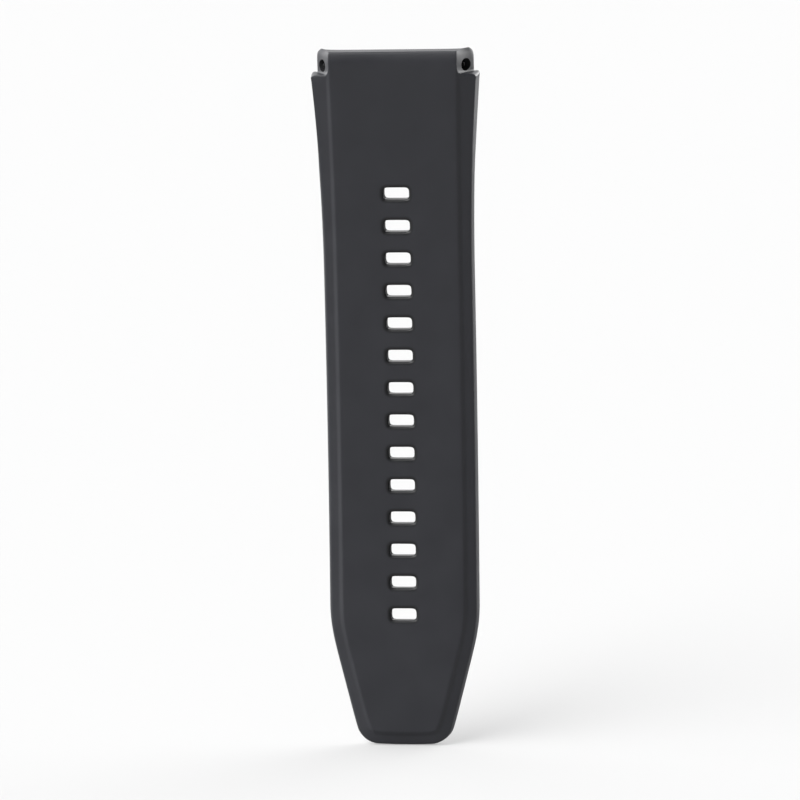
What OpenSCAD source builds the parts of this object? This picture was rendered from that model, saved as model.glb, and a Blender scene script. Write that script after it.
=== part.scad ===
// Slotted half of a moulded rubber watch strap, with the spring bar in its head.
// The strap hangs from the bar along Z, X is its width and its skin side faces -Y.
// The origin is the middle of the spring bar.

/* [Strap] */
// Gap between the case's lugs, which the strap's head fills
lug_gap = 24; // [20:0.5:26]
// Width of the straight tail at its widest line
tail_w = 22.8; // [22:0.1:25]
// Width over the shoulders, just below the head
shoulder_w = 25.2; // [24.4:0.1:28]
// Distance from the bar's axis to the end of the tip
bar_to_tip = 104.8; // [100:0.5:125]
// Distance below the bar at which the shoulders' flare ends
flare_len = 31; // [20:1:45]
// Radius of the bow that the strap is moulded to
bow_r = 520; // [300:10:900]
// Distance below the bar at which the bow runs parallel to Z
bow_mid = 42.4; // [20:0.2:60]
// Thickness of the tail
tail_t = 2.2; // [1.8:0.1:3]
// Thickness of the head round the bar
head_t = 4.2; // [3.8:0.1:5]
// Height of the head's top above the bar's axis
head_rise = 2.35; // [2.1:0.05:3]
// Depth of the lug notches' floor below the bar's axis
notch_drop = 1.3; // [1.2:0.05:2]
// Distance below the bar at which the thick head has thinned down to the tail
ramp_foot = 16; // [12:0.5:17]

/* [Head] */
// Width of the head at its skin side, where the slanted ends leave access to the bar
head_front_w = 20.8; // [20.6:0.1:22]
// Depth of the slanted part of the head's ends, behind which they run straight back
end_slant_d = 2.9; // [2:0.1:3.5]
// Radius that leans the head's front back towards its top
head_front_r = 3.6; // [2.5:0.1:6]
// Height above the bar's axis at which the head's front starts to lean back
head_lean_z = 0.3; // [0:0.1:0.8]
// Amount by which the leaning front starts ahead of the panel, for a soft change of slope
head_lean_lap = 0.02; // [0.01:0.005:0.05]
// Radius of the head's rear top edge
head_back_r = 1.3; // [0.5:0.1:1.8]
// Size of the shoulders' eased outer corners
shoulder_ease = 0.4; // [0.2:0.05:0.8]

/* [Raised panel] */
// Width of the raised panel along the tail
panel_w = 18.8; // [16:0.1:19.1]
// Amount that the panel widens on each side towards the head
panel_flare = 0.44; // [0.05:0.01:0.5]
// Width of the sloping step round the panel
step_w = 0.45; // [0.3:0.05:0.6]
// Height of the panel above the flange
step_depth = 0.35; // [0.2:0.05:0.5]
// Fall of the flange towards the outer edge, in degrees
flange_fall = 11; // [4:1:15]

/* [Outer edge] */
// Slope of the eased front edge, in degrees from the side wall
edge_ease = 38; // [25:1:50]
// Depth below the panel at which the eased edge meets the side wall
edge_depth = 0.85; // [0.75:0.05:1]
// Height of the upright side wall along the tail
side_wall = 1.15; // [0.8:0.05:1.2]
// Slope of the hidden side's eased edge, in degrees from the side wall
back_ease = 40; // [20:1:50]

/* [Tip] */
// Distance below the bar at which the sides start to turn inwards
taper_from = 83; // [78:0.5:86]
// Radius of the turn into the taper
knee_r = 27; // [15:1:40]
// Taper of each side at the tip, in degrees
taper = 14.5; // [10:0.5:18]
// Radius of the tip's corners
tip_r = 3.6; // [2.5:0.1:5]
// Height of the tip's gently rounded end
tip_crown = 0.08; // [0.02:0.01:0.3]

/* [Slots] */
// Number of slots for the buckle
slot_count = 14; // [6:1:14]
// Distance from the bar's axis to the first slot
first_slot = 19.5; // [19:0.1:24]
// Distance between neighbouring slots, measured along the bow
slot_pitch = 5; // [4:0.1:5.2]
// Width of a slot, across the strap
slot_w = 4.2; // [3:0.1:8]
// Height of a slot, along the strap
slot_h = 2.04; // [1.6:0.02:2.4]
// Radius of a slot's corners
slot_r = 0.58; // [0.3:0.02:0.7]
// Width of the sloping rim round a slot, on both faces
rim_w = 0.3; // [0.15:0.05:0.4]

/* [Spring bar] */
// Diameter of the bar's tube
tube_d = 1.78; // [1.5:0.02:1.9]
// Wall of the bar's tube
tube_wall = 0.17; // [0.14:0.01:0.2]
// Length of the bar's tube
tube_len = 18.4; // [17:0.1:19]
// Length of each rolled-in tube end
tube_lip = 0.25; // [0.2:0.01:0.4]
// Clearance all round between the tube and the strap's bore
bore_gap = 0.035; // [0.02:0.005:0.06]
// Diameter of a bar tip, which goes into a lug's hole
bar_tip_d = 0.75; // [0.7:0.01:0.8]
// Length of a bar tip
bar_tip_len = 1.1; // [0.9:0.05:1.2]
// Length of the bevel on a bar tip
bar_tip_bevel = 0.08; // [0.04:0.01:0.15]
// Diameter of the plunger's stem, which runs through the tube's rolled end
stem_d = 1.08; // [1.06:0.01:1.12]
// Diameter of a plunger's flange
flange_d = 1.4; // [1.2:0.05:1.5]
// Thickness of a plunger's flange
flange_t = 0.4; // [0.3:0.05:0.5]
// Length of a plunger's piston
piston_len = 1.5; // [1:0.1:2]
// Clearance all round between a plunger and the tube that guides it
slide_gap = 0.045; // [0.02:0.005:0.06]
// Gap at each end stop of a plunger, and between the spring and its seat
stop_gap = 0.05; // [0.02:0.01:0.1]

/* [Coil spring] */
// Diameter of the spring's wire
wire_d = 0.2; // [0.16:0.01:0.22]
// Clearance all round between the coil and the tube
coil_gap = 0.09; // [0.05:0.01:0.15]
// Turns between the two straight ends
coil_turns = 14; // [8:1:14]
// Radius of the bend into each straight end
coil_bend_r = 0.2; // [0.15:0.01:0.3]

/* [Hidden] */

$fn = 72;
bow_fn = 720;
// How far the cutting tools reach, and how far they run past a face
reach = 40;
past = 1;
lap = 0.15;

rubber = [0.235, 0.24, 0.255];
steel = [0.78, 0.79, 0.8];
spring_steel = [0.6, 0.61, 0.62];

// The bow's centre lies far in front of the strap. At the bar its face is half a head's thickness ahead.
bow_z = -bow_mid;
bow_y = -head_t / 2 - sqrt(bow_r * bow_r - bow_mid * bow_mid);
floor_z = -notch_drop;
shoulder_z = floor_z - shoulder_ease;
flare_z = -flare_len;
knee_z = -taper_from;
tip_z = -bar_to_tip;
top_z = head_rise + past;
low_z = tip_z - past;

function front_y(z) = bow_y + sqrt(bow_r * bow_r - (z - bow_z) * (z - bow_z));
function bow_turn(z) = asin((z - bow_z) / bow_r);
head_turn = bow_turn(0);
function arc(centre, r, from, to, steps) =
    [for (i = [0:steps]) let(a = from + (to - from) * i / steps) centre + r * [cos(a), sin(a)]];

// 1 at the head, falling to 0 at the ramp's foot on the hidden side
function swell(z) = cos(90 * max(0, (floor_z - z) / (ramp_foot - notch_drop)));
function back_y(z) = front_y(z) + tail_t + (head_t - tail_t) * swell(z);

// Half the width at height z of an outline that lies inset inside the widest line.
// It has widened by flare at height wide_z.
knee_end_z = knee_z - knee_r * sin(taper);
function half_width(z, inset, flare, wide_z) =
    let(
        flare_r = ((wide_z - flare_z) * (wide_z - flare_z) + flare * flare) / (2 * flare),
        rise = z > flare_z ? flare_r - sqrt(flare_r * flare_r - (z - flare_z) * (z - flare_z)) : 0,
        turn_r = knee_r - inset,
        turn = min(taper, asin(min(1, max(0, knee_z - z) / turn_r))),
        left = max(0, knee_z - turn_r * sin(taper) - z)
    )
    tail_w / 2 - inset + rise - turn_r * (1 - cos(turn)) - left * tan(taper);

// Heights at which the outlines have their points, closer together round the knee
function heights(from) = concat(
    [for (i = [0:19]) from + (knee_z - from) * i / 20],
    [for (i = [0:5]) knee_z + (knee_end_z - knee_z) * i / 6]
);
taper_steps = 4;
function taper_heights(to) = [for (i = [0:taper_steps]) knee_end_z + (to - knee_end_z) * i / taper_steps];

// The outer outline of one side, from above the shoulder to the middle of the tip's end
tip_flare = (shoulder_w - tail_w) / 2;
over_z = floor_z + head_t / 2 * tan(head_turn) + lap;
corner_z = tip_z + tip_crown + tip_r;
corner_end_z = corner_z - tip_r * sin(taper);
corner_x = half_width(corner_end_z, 0, tip_flare, shoulder_z) - tip_r * cos(taper);
crown_r = (corner_x * corner_x + tip_crown * tip_crown) / (2 * tip_crown);
crown_a = asin(corner_x / crown_r);
outer_line = concat(
    [[reach, top_z], [reach, over_z]],
    [for (z = heights(over_z)) [half_width(z, 0, tip_flare, shoulder_z), z]],
    [for (z = taper_heights(corner_end_z)) [half_width(z, 0, tip_flare, shoulder_z), z]],
    arc([corner_x, corner_z], tip_r, -taper - 8, -90, 8),
    arc([0, tip_z + crown_r], crown_r, crown_a * 2 / 3 - 90, -90, 2)
);

// An inner outline, which runs on straight past the tip
function inner_line(inset) = [
    for (z = concat(heights(top_z), taper_heights(low_z))) [half_width(z, inset, panel_flare, top_z), z]
];
panel_inset = (tail_w - panel_w) / 2;
foot_inset = panel_inset - step_w;

// What lies between a left and a right wall, which both lean out by lean degrees from +Y.
// Each passes through its outline at the given depth below the panel's face,
// and sinks by a further amount towards the thick head.
module leaning_wall(outline, lean, depth, sink) {
    wall = [for (p = outline)
        let(wall_y = front_y(p.y) + depth + sink * max(0, swell(max(p.y, -ramp_foot))))
            [(p.x - wall_y * tan(lean)) * cos(lean), p.y]];
    rotate([0, 0, -lean])
        rotate([90, 0, 0])
            linear_extrude(height = 2 * reach, center = true)
                polygon(concat([[-reach, low_z], [-reach, top_z]], wall));
}

module between_walls(outline, lean, depth, sink = 0) {
    intersection() {
        leaning_wall(outline, lean, depth, sink);
        mirror([1, 0, 0]) leaning_wall(outline, lean, depth, sink);
    }
}

// What lies above a slope across the strap's end that leans out by lean degrees from +Y
module above_end(z, lean, depth) {
    translate([-reach, front_y(z) + depth, z])
        rotate([-lean, 0, 0])
            translate([0, -4 * reach, 0])
                cube([2 * reach, 8 * reach, 4 * reach]);
}

// The strap's side view: Y runs to the right and Z up
module side_view(depth) {
    lean_from = 180 + bow_turn(head_lean_z);
    lean_reach = bow_r - head_lean_lap + head_front_r;
    lean_centre = [bow_y, bow_z] + lean_reach * [cos(bow_turn(head_lean_z)), sin(bow_turn(head_lean_z))];
    // The top slopes up to the hidden side, square to the bow at the bar
    back_z = head_rise - head_back_r;
    back_centre = [back_y(back_z) - head_back_r, back_z];
    top_from = 90 + head_turn;
    top_above = (back_centre - lean_centre) * [cos(top_from), sin(top_from)] + head_back_r;
    lean_to = top_from + acos(top_above / head_front_r);
    ramp_steps = 12;
    difference() {
        union() {
            intersection() {
                translate([bow_y, bow_z]) circle(r = bow_r + tail_t, $fn = bow_fn);
                translate([-reach, low_z]) square([2 * reach, bar_to_tip - ramp_foot / 2]);
            }
            polygon(concat(
                [[-reach, -ramp_foot - past], [-reach, head_lean_z]],
                arc(lean_centre, head_front_r, lean_from, lean_to, 8),
                arc(back_centre, head_back_r, top_from, 0, 8),
                [for (i = [0:ramp_steps])
                    let(z = floor_z + (-ramp_foot - past - floor_z) * i / ramp_steps) [back_y(z), z]]
            ));
        }
        translate([bow_y, bow_z]) circle(r = bow_r + depth, $fn = bow_fn);
    }
}

module bowed_slab(depth) {
    rotate([90, 0, 90])
        linear_extrude(height = shoulder_w + 2 * past, center = true)
            side_view(depth);
}

// The head's slanted ends, and the notches beside them that take the lugs, square to the bow at the bar
module lug_notches() {
    skin_y = -head_t / 2 + step_depth;
    slant = (lug_gap - head_front_w) / 2 / end_slant_d;
    near_x = head_front_w / 2 - (head_t + skin_y) * slant;
    straight_y = skin_y + end_slant_d;
    corner = [shoulder_w / 2, floor_z];
    ease = shoulder_ease * 0.3;
    for (side = [0, 1])
        mirror([side, 0, 0])
            rotate([head_turn, 0, 0])
                translate([0, 0, floor_z])
                    linear_extrude(height = head_rise + notch_drop + past)
                        polygon([
                            [near_x, -head_t], [lug_gap / 2, straight_y], [lug_gap / 2, head_t],
                            [reach, head_t], [reach, -head_t]
                        ]);
    for (side = [0, 1])
        mirror([side, 0, 0])
            rotate([90 + head_turn, 0, 0])
                linear_extrude(height = 2 * head_t, center = true)
                    polygon([
                        corner + [-shoulder_ease, lap], corner + [-shoulder_ease, 0],
                        corner + [-ease, -ease], corner + [0, -shoulder_ease],
                        corner + [ease, ease - 2 * shoulder_ease], corner + [past, -2 * shoulder_ease],
                        corner + [past, lap]
                    ]);
}

// A slot's outline, with X across the strap and Y along it
module slot_outline() {
    square([slot_w - 2 * slot_r, slot_h], center = true);
    square([slot_w, slot_h - 2 * slot_r], center = true);
    for (x = [-1, 1], y = [-1, 1])
        translate([x * (slot_w / 2 - slot_r), y * (slot_h / 2 - slot_r)])
            circle(r = slot_r);
}

// What a rim's slope takes off: X runs out from the slot's wall and Y out of the face
module rim_section() {
    polygon([[-lap, -rim_w - lap], [-lap, lap], [rim_w + lap, lap]]);
}

module slot_rim() {
    for (k = [0:3]) {
        wide = k % 2 == 0 ? slot_w : slot_h;
        long = k % 2 == 0 ? slot_h : slot_w;
        rotate([0, 0, 90 * k]) {
            translate([wide / 2, 0, 0])
                rotate([90, 0, 0])
                    linear_extrude(height = long - 2 * slot_r, center = true)
                        rim_section();
            translate([wide / 2 - slot_r, long / 2 - slot_r, 0])
                rotate_extrude(angle = 90)
                    translate([slot_r, 0]) rim_section();
        }
    }
}

module slot() {
    rotate([90, 0, 0]) {
        translate([0, 0, -tail_t - past])
            linear_extrude(height = tail_t + 2 * past)
                slot_outline();
        slot_rim();
        translate([0, 0, -tail_t]) mirror([0, 0, 1]) slot_rim();
    }
}

module slots() {
    for (k = [0:slot_count - 1]) {
        turn = bow_turn(-first_slot) - k * slot_pitch / bow_r * 180 / PI;
        translate([0, bow_y, bow_z])
            rotate([turn, 0, 0])
                translate([0, bow_r, 0])
                    slot();
    }
}

bore_r = tube_d / 2 + bore_gap;

module strap_body() {
    color(rubber)
        difference() {
            intersection() {
                union() {
                    intersection() {
                        bowed_slab(0);
                        between_walls(inner_line(panel_inset), atan(step_w / step_depth), 0);
                        above_end(tip_z + panel_inset, atan(step_w / step_depth), 0);
                    }
                    intersection() {
                        bowed_slab(step_depth / 2);
                        between_walls(inner_line(foot_inset), 90 - flange_fall, step_depth);
                        above_end(tip_z + foot_inset, 90 - flange_fall, step_depth);
                    }
                }
                between_walls(outer_line, edge_ease, edge_depth);
                between_walls(outer_line, 0, 0);
                between_walls(outer_line, -back_ease, edge_depth + side_wall, head_t - tail_t);
                above_end(tip_z, edge_ease, edge_depth);
            }
            lug_notches();
            rotate([0, 90, 0]) cylinder(r = bore_r, h = shoulder_w + 2 * past, center = true);
            slots();
        }
}

// The spring bar, along X. Its profiles have the radius along X and the bar's axis along Y.
tube_r = tube_d / 2;
tube_in_r = tube_r - tube_wall;
stem_r = stem_d / 2;
bar_tip_r = bar_tip_d / 2;
mouth_r = stem_r + slide_gap;
flange_in = tube_len / 2 + stop_gap;
flange_out = flange_in + flange_t;
travel = lug_gap / 2 - flange_out;
piston_out = tube_len / 2 - tube_lip - stop_gap - travel;
piston_in = piston_out - piston_len;

module along_x() {
    rotate([0, 90, 0]) rotate_extrude() children();
}

module spring_bar_tube() {
    roll = tube_lip / 2;
    color(steel)
        along_x()
            difference() {
                polygon([
                    [0, -tube_len / 2], [tube_r - roll, -tube_len / 2], [tube_r, -tube_len / 2 + roll],
                    [tube_r, tube_len / 2 - roll], [tube_r - roll, tube_len / 2], [0, tube_len / 2]
                ]);
                translate([-past, -tube_len / 2 + tube_lip])
                    square([tube_in_r + past, tube_len - 2 * tube_lip]);
                translate([-past, -tube_len / 2 - past])
                    square([mouth_r + past, tube_len + 2 * past]);
            }
}

module plunger() {
    color(steel)
        along_x() {
            translate([0, piston_in]) square([tube_in_r - slide_gap, piston_len]);
            translate([0, piston_in]) square([stem_r, flange_out - piston_in]);
            translate([0, flange_in]) square([flange_d / 2, flange_t]);
            translate([0, flange_in])
                polygon([
                    [0, 0], [bar_tip_r, 0], [bar_tip_r, flange_t + bar_tip_len - bar_tip_bevel],
                    [bar_tip_r - bar_tip_bevel, flange_t + bar_tip_len], [0, flange_t + bar_tip_len]
                ]);
        }
}

module plunger_right() {
    plunger();
}

module plunger_left() {
    mirror([1, 0, 0]) plunger();
}

// The coil's route. Each entry is the angle round the axis, the place along it,
// and the wire's slope: 0 runs round the axis and 90 along it.
coil_r = tube_in_r - coil_gap - wire_d / 2;
coil_half = piston_in - stop_gap;
wound_half = coil_half - wire_d - coil_bend_r;
coil_slope = atan(wound_half / (coil_turns * PI * coil_r));
bend_steps = 4;
turn_rings = 8;
wire_sides = 6;

function bend_entry(slope) = [
    coil_turns * 180 + coil_bend_r * (sin(slope) - sin(coil_slope)) / coil_r * 180 / PI,
    wound_half + coil_bend_r * (cos(coil_slope) - cos(slope)),
    slope
];
end_route = concat(
    [for (i = [1:bend_steps]) bend_entry(coil_slope + (90 - coil_slope) * i / bend_steps)],
    [[bend_entry(90)[0], coil_half, 90]]
);
coil_route = concat(
    [for (i = [len(end_route) - 1:-1:0]) [-end_route[i][0], -end_route[i][1], end_route[i][2]]],
    [for (i = [0:coil_turns * turn_rings])
        let(share = 2 * i / (coil_turns * turn_rings) - 1)
            [coil_turns * 180 * share, wound_half * share, coil_slope]],
    end_route
);

function coil_point(e) = [e[1], coil_r * cos(e[0]), coil_r * sin(e[0])];
function coil_ring(e) =
    let(
        out = [0, cos(e[0]), sin(e[0])],
        run = [sin(e[2]), -cos(e[2]) * sin(e[0]), cos(e[2]) * cos(e[0])],
        side = cross(run, out)
    )
    [for (j = [0:wire_sides - 1])
        coil_point(e) + wire_d / 2 * (cos(360 * j / wire_sides) * out + sin(360 * j / wire_sides) * side)];

coil_points = [for (e = coil_route) coil_point(e)];
coil_least_gap = min([for (i = [0:len(coil_points) - 1], j = [i + 1:1:len(coil_points) - 1])
    if (coil_route[j][0] - coil_route[i][0] > 240) norm(coil_points[i] - coil_points[j]) - wire_d]);

module spring_bar_coil() {
    echo(coil_least_gap = coil_least_gap);
    rings = len(coil_route);
    last = (rings - 1) * wire_sides;
    color(spring_steel)
        polyhedron(
            points = [for (e = coil_route) each coil_ring(e)],
            faces = concat(
                [for (j = [1:wire_sides - 2]) [0, j, j + 1]],
                [for (i = [0:rings - 2], j = [0:wire_sides - 1], half = [0, 1])
                    let(
                        a = i * wire_sides + j,
                        b = i * wire_sides + (j + 1) % wire_sides
                    )
                    half == 0 ? [a, a + wire_sides, b + wire_sides] : [a, b + wire_sides, b]],
                [for (j = [1:wire_sides - 2]) [last, last + j + 1, last + j]]
            )
        );
}

strap_body();
spring_bar_tube();
spring_bar_coil();
plunger_left();
plunger_right();
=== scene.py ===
from functools import partial
import math

import bpy
from bpy.props import (
    FloatProperty,
    FloatVectorProperty,
    IntProperty,
    PointerProperty,
)
from mathutils import Matrix, Vector


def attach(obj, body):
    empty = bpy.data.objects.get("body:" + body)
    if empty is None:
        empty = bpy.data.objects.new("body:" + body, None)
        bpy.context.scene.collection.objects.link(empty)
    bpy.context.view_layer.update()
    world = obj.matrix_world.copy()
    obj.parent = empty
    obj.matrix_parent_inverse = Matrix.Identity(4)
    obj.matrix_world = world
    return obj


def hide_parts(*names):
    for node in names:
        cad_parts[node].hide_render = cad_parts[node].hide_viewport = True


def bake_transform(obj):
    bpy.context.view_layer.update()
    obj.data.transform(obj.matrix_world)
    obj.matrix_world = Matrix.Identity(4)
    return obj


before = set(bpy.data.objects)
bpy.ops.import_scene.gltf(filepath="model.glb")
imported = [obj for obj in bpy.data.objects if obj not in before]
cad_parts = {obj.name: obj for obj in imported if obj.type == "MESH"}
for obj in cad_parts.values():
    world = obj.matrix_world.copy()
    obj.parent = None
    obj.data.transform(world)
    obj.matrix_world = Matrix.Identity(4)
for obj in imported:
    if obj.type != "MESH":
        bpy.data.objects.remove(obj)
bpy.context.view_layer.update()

bl_info = {
    "name": "Slotted Rubber Strap",
    "version": (1, 0, 0),
    "blender": (4, 5, 0),
    "location": "View3D > Sidebar > Strap",
    "description": "Models the moulded rubber half of a watch strap round its spring bar, "
                   "with its finishes and a white stage",
    "category": "Add Mesh",
}

MM = 0.001


def length(name, description, value):
    """A size that shows in the panel as a length, from its value in millimetres."""
    return FloatProperty(name=name, description=description, default=value * MM,
                         subtype="DISTANCE", unit="LENGTH", precision=5)


def slope(name, description, degrees):
    """A slope that shows in the panel as an angle, from its value in degrees."""
    return FloatProperty(name=name, description=description, default=math.radians(degrees),
                         subtype="ANGLE", unit="ROTATION")


def paint(name, description, value):
    """A colour that shows in the panel as one."""
    return FloatVectorProperty(name=name, description=description, default=value,
                               subtype="COLOR", min=0, max=1)


def fraction(name, description, value):
    """A share from 0 to 1 that shows in the panel as a slider."""
    return FloatProperty(name=name, description=description, default=value,
                         subtype="FACTOR", min=0, max=1)


def amount(name, description, value):
    """A plain number that shows in the panel."""
    return FloatProperty(name=name, description=description, default=value)


class StrapSizes(bpy.types.PropertyGroup):
    """Sizes of the moulded strap and its coil, from the construction model"""

    tail_w: length("Tail width", "Width of the straight tail at its widest line", 22.81)
    shoulder_w: length("Shoulder width", "Width over the shoulders below the head", 25.2)
    bar_to_tip: length("Bar to tip", "Distance below the bar of the tip's end", 104.65)
    flare_len: length("Flare length", "Distance below the bar at which the shoulders' flare ends", 31)
    bow_r: length("Bow radius", "Radius of the bow that the strap is moulded to", 520)
    bow_mid: length("Bow middle", "Distance below the bar at which the bow runs upright", 42.4)
    tail_t: length("Tail thickness", "Thickness of the tail", 2.2)
    head_t: length("Head thickness", "Thickness of the head round the bar", 4.2)
    head_rise: length("Head rise", "Height of the head's highest line above the bar", 2.35)
    head_w: length("Head width", "Width of the head at its hidden side", 24)
    head_slant: slope("Head slant", "How far the head's ends face the skin side", 28.8)
    head_front_r: length("Head front radius", "Radius that leans the head's front back", 3.6)
    head_lean_z: length("Head lean height", "Height at which the head's front starts to lean back", 0.3)
    head_back_r: length("Head back radius", "Radius of the head's rear top edge", 1.3)
    head_ear: length("Head ear", "How far the ends of the rear top edge stand higher", 0.16)
    notch_drop: length("Notch depth", "Depth of the lug notches' floor below the bar", 1.3)
    shoulder_ease: length("Shoulder ease", "Height of the shoulders' rounded outer corner", 0.4)
    ramp_foot: length("Ramp foot", "Distance below the bar at which the head has thinned to the tail", 16)
    panel_w: length("Panel width", "Width of the raised panel along the tail", 18.8)
    panel_flare: length("Panel flare", "How far the panel widens on each side at the head", 0.44)
    step_w: length("Step width", "Width of the sloping step round the panel", 0.45)
    step_depth: length("Step height", "Height of the panel above the flange", 0.35)
    flange_fall: slope("Flange fall", "Fall of the flange towards the outer edge", 11)
    edge_ease: slope("Edge ease", "Slope of the eased front edge from the side wall", 38)
    edge_depth: length("Edge depth", "Depth at which the eased edge meets the side wall", 0.85)
    back_ease: slope("Back ease", "Slope of the eased rear edge from the side wall", 40)
    back_edge: length("Rear edge", "Height of the eased rear edge", 0.2)
    wall_lean: length("Wall lean", "How far the side walls lean out to the hidden side", 0.27)
    taper_from: length("Taper start", "Distance below the bar at which the sides turn inwards", 83)
    knee_r: length("Knee radius", "Radius of the turn into the taper", 27)
    taper: slope("Taper", "Taper of each side at the tip", 14.5)
    tip_r: length("Tip radius", "Radius of the tip's corners", 3.6)
    tip_crown: length("Tip crown", "Height of the tip's gently rounded end", 0.08)
    slot_count: IntProperty(name="Slots", description="Number of slots for the buckle",
                            default=14, min=1, max=14)
    first_slot: length("First slot", "Distance from the bar to the first slot", 19.5)
    slot_pitch: length("Slot pitch", "Distance between neighbouring slots", 5)
    slot_w: length("Slot width", "Width of a slot inside its rounded rim, across the strap", 3.95)
    slot_h: length("Slot height", "Height of a slot inside its rounded rim, along the strap", 1.82)
    slot_turn: length("Slot corner run", "Length of slot edge that its rounded corner takes up", 1.05)
    rim_w: length("Rim width", "Width of the panel's surface that the slot's rounded rim takes up", 0.75)
    bore_r: length("Bore radius", "Radius of the bore for the spring bar", 0.925)
    crease: length("Crease", "Distance of the loops that hold the panel's edges", 0.25)
    coil_r: length("Coil radius", "Radius of the spring's coil, to the middle of its wire", 0.53)
    coil_half: length("Coil half length", "Distance from the coil's middle to the end of its wire", 5.0)
    coil_wound: length("Wound half length", "Distance from the coil's middle to the end of its turns", 4.6)
    coil_bend_r: length("Coil end bend", "Radius of the bend from the last turn to the straight end", 0.2)
    coil_turns: IntProperty(name="Coil turns", description="Turns of the spring's coil",
                            default=14, min=2, max=40)
    wire_d: length("Wire diameter", "Diameter of the spring's wire", 0.2)


class FinishSettings(bpy.types.PropertyGroup):
    """Colours and surface values of the finishes"""

    rubber: paint("Rubber", "Colour of the rubber", (0.0247, 0.0255, 0.0312))
    rubber_roughness: fraction("Rubber roughness", "Roughness of the rubber's skin", 0.42)
    steel: paint("Steel", "Colour of the bar's steel", (0.56, 0.565, 0.58))
    # Painted shade: the plungers' steel is near black, standing in for the shade inside the bore
    burnish: paint("Burnished steel", "Colour of the plungers' dark steel", (0.016, 0.0155, 0.0155))
    wire: paint("Spring wire", "Colour of the coil's wire", (0.42, 0.43, 0.45))
    grain: length("Grain", "Size of the mould's grain", 0.12)


class StageSettings(bpy.types.PropertyGroup):
    """Camera, lamps and floor of the white stage"""

    azimuth: slope("Azimuth", "How far the camera stands to the right", 7.5535)
    elevation: slope("Elevation", "How far the camera looks down", 9.0047)
    roll: slope("Roll", "How far the strap leans to the left in the picture", 1.1725)
    distance: length("Distance", "Distance of the camera from its target", 686.35)
    target_x: length("Target X", "Side place of the camera's target", -0.1138)
    target_z: length("Target Z", "Height of the camera's target", -51.3409)
    lens: amount("Lens", "Focal length in millimetres on a 36 mm sensor", 201.69)
    key: amount("Key lamp", "Strength of the lamp at the left", 3.6)
    top: amount("Top lamp", "Strength of the lamp above the strap", 0.4)
    front_sky: amount("Front sky", "Level of the surroundings at the front right", 0.12)
    rear_sky: amount("Rear sky", "Level of the surroundings at the left and behind", 1.3)
    left_glow: amount("Left glow", "Level that the left rear adds", 1.3)
    right_glow: amount("Right glow", "Level that the right rear adds", 4.9)
    floor_white: fraction("Floor", "How white the floor is", 0.385)
    floor_glow: fraction("Floor glow", "White that the camera sees on the floor in any light", 0.36)
    floor_bounce: fraction("Floor bounce", "How white the floor is to the strap", 0.34)


# Share of the head's thickness behind which its ends flare out, and how far they do for each length of depth
END_FLARE_FROM, END_FLARE = 0.6, 1.4
# How far above the head the panel's flare would end, in millimetres, and rounds that settle a depth
FLARE_ABOVE, SETTLE_ROUNDS = 1, 3


def mix(a, b, share):
    """The value between two others at a share of the way."""
    return a + (b - a) * share


def clamp(value):
    """The value, held between 0 and 1."""
    return min(1.0, max(0.0, value))


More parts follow.
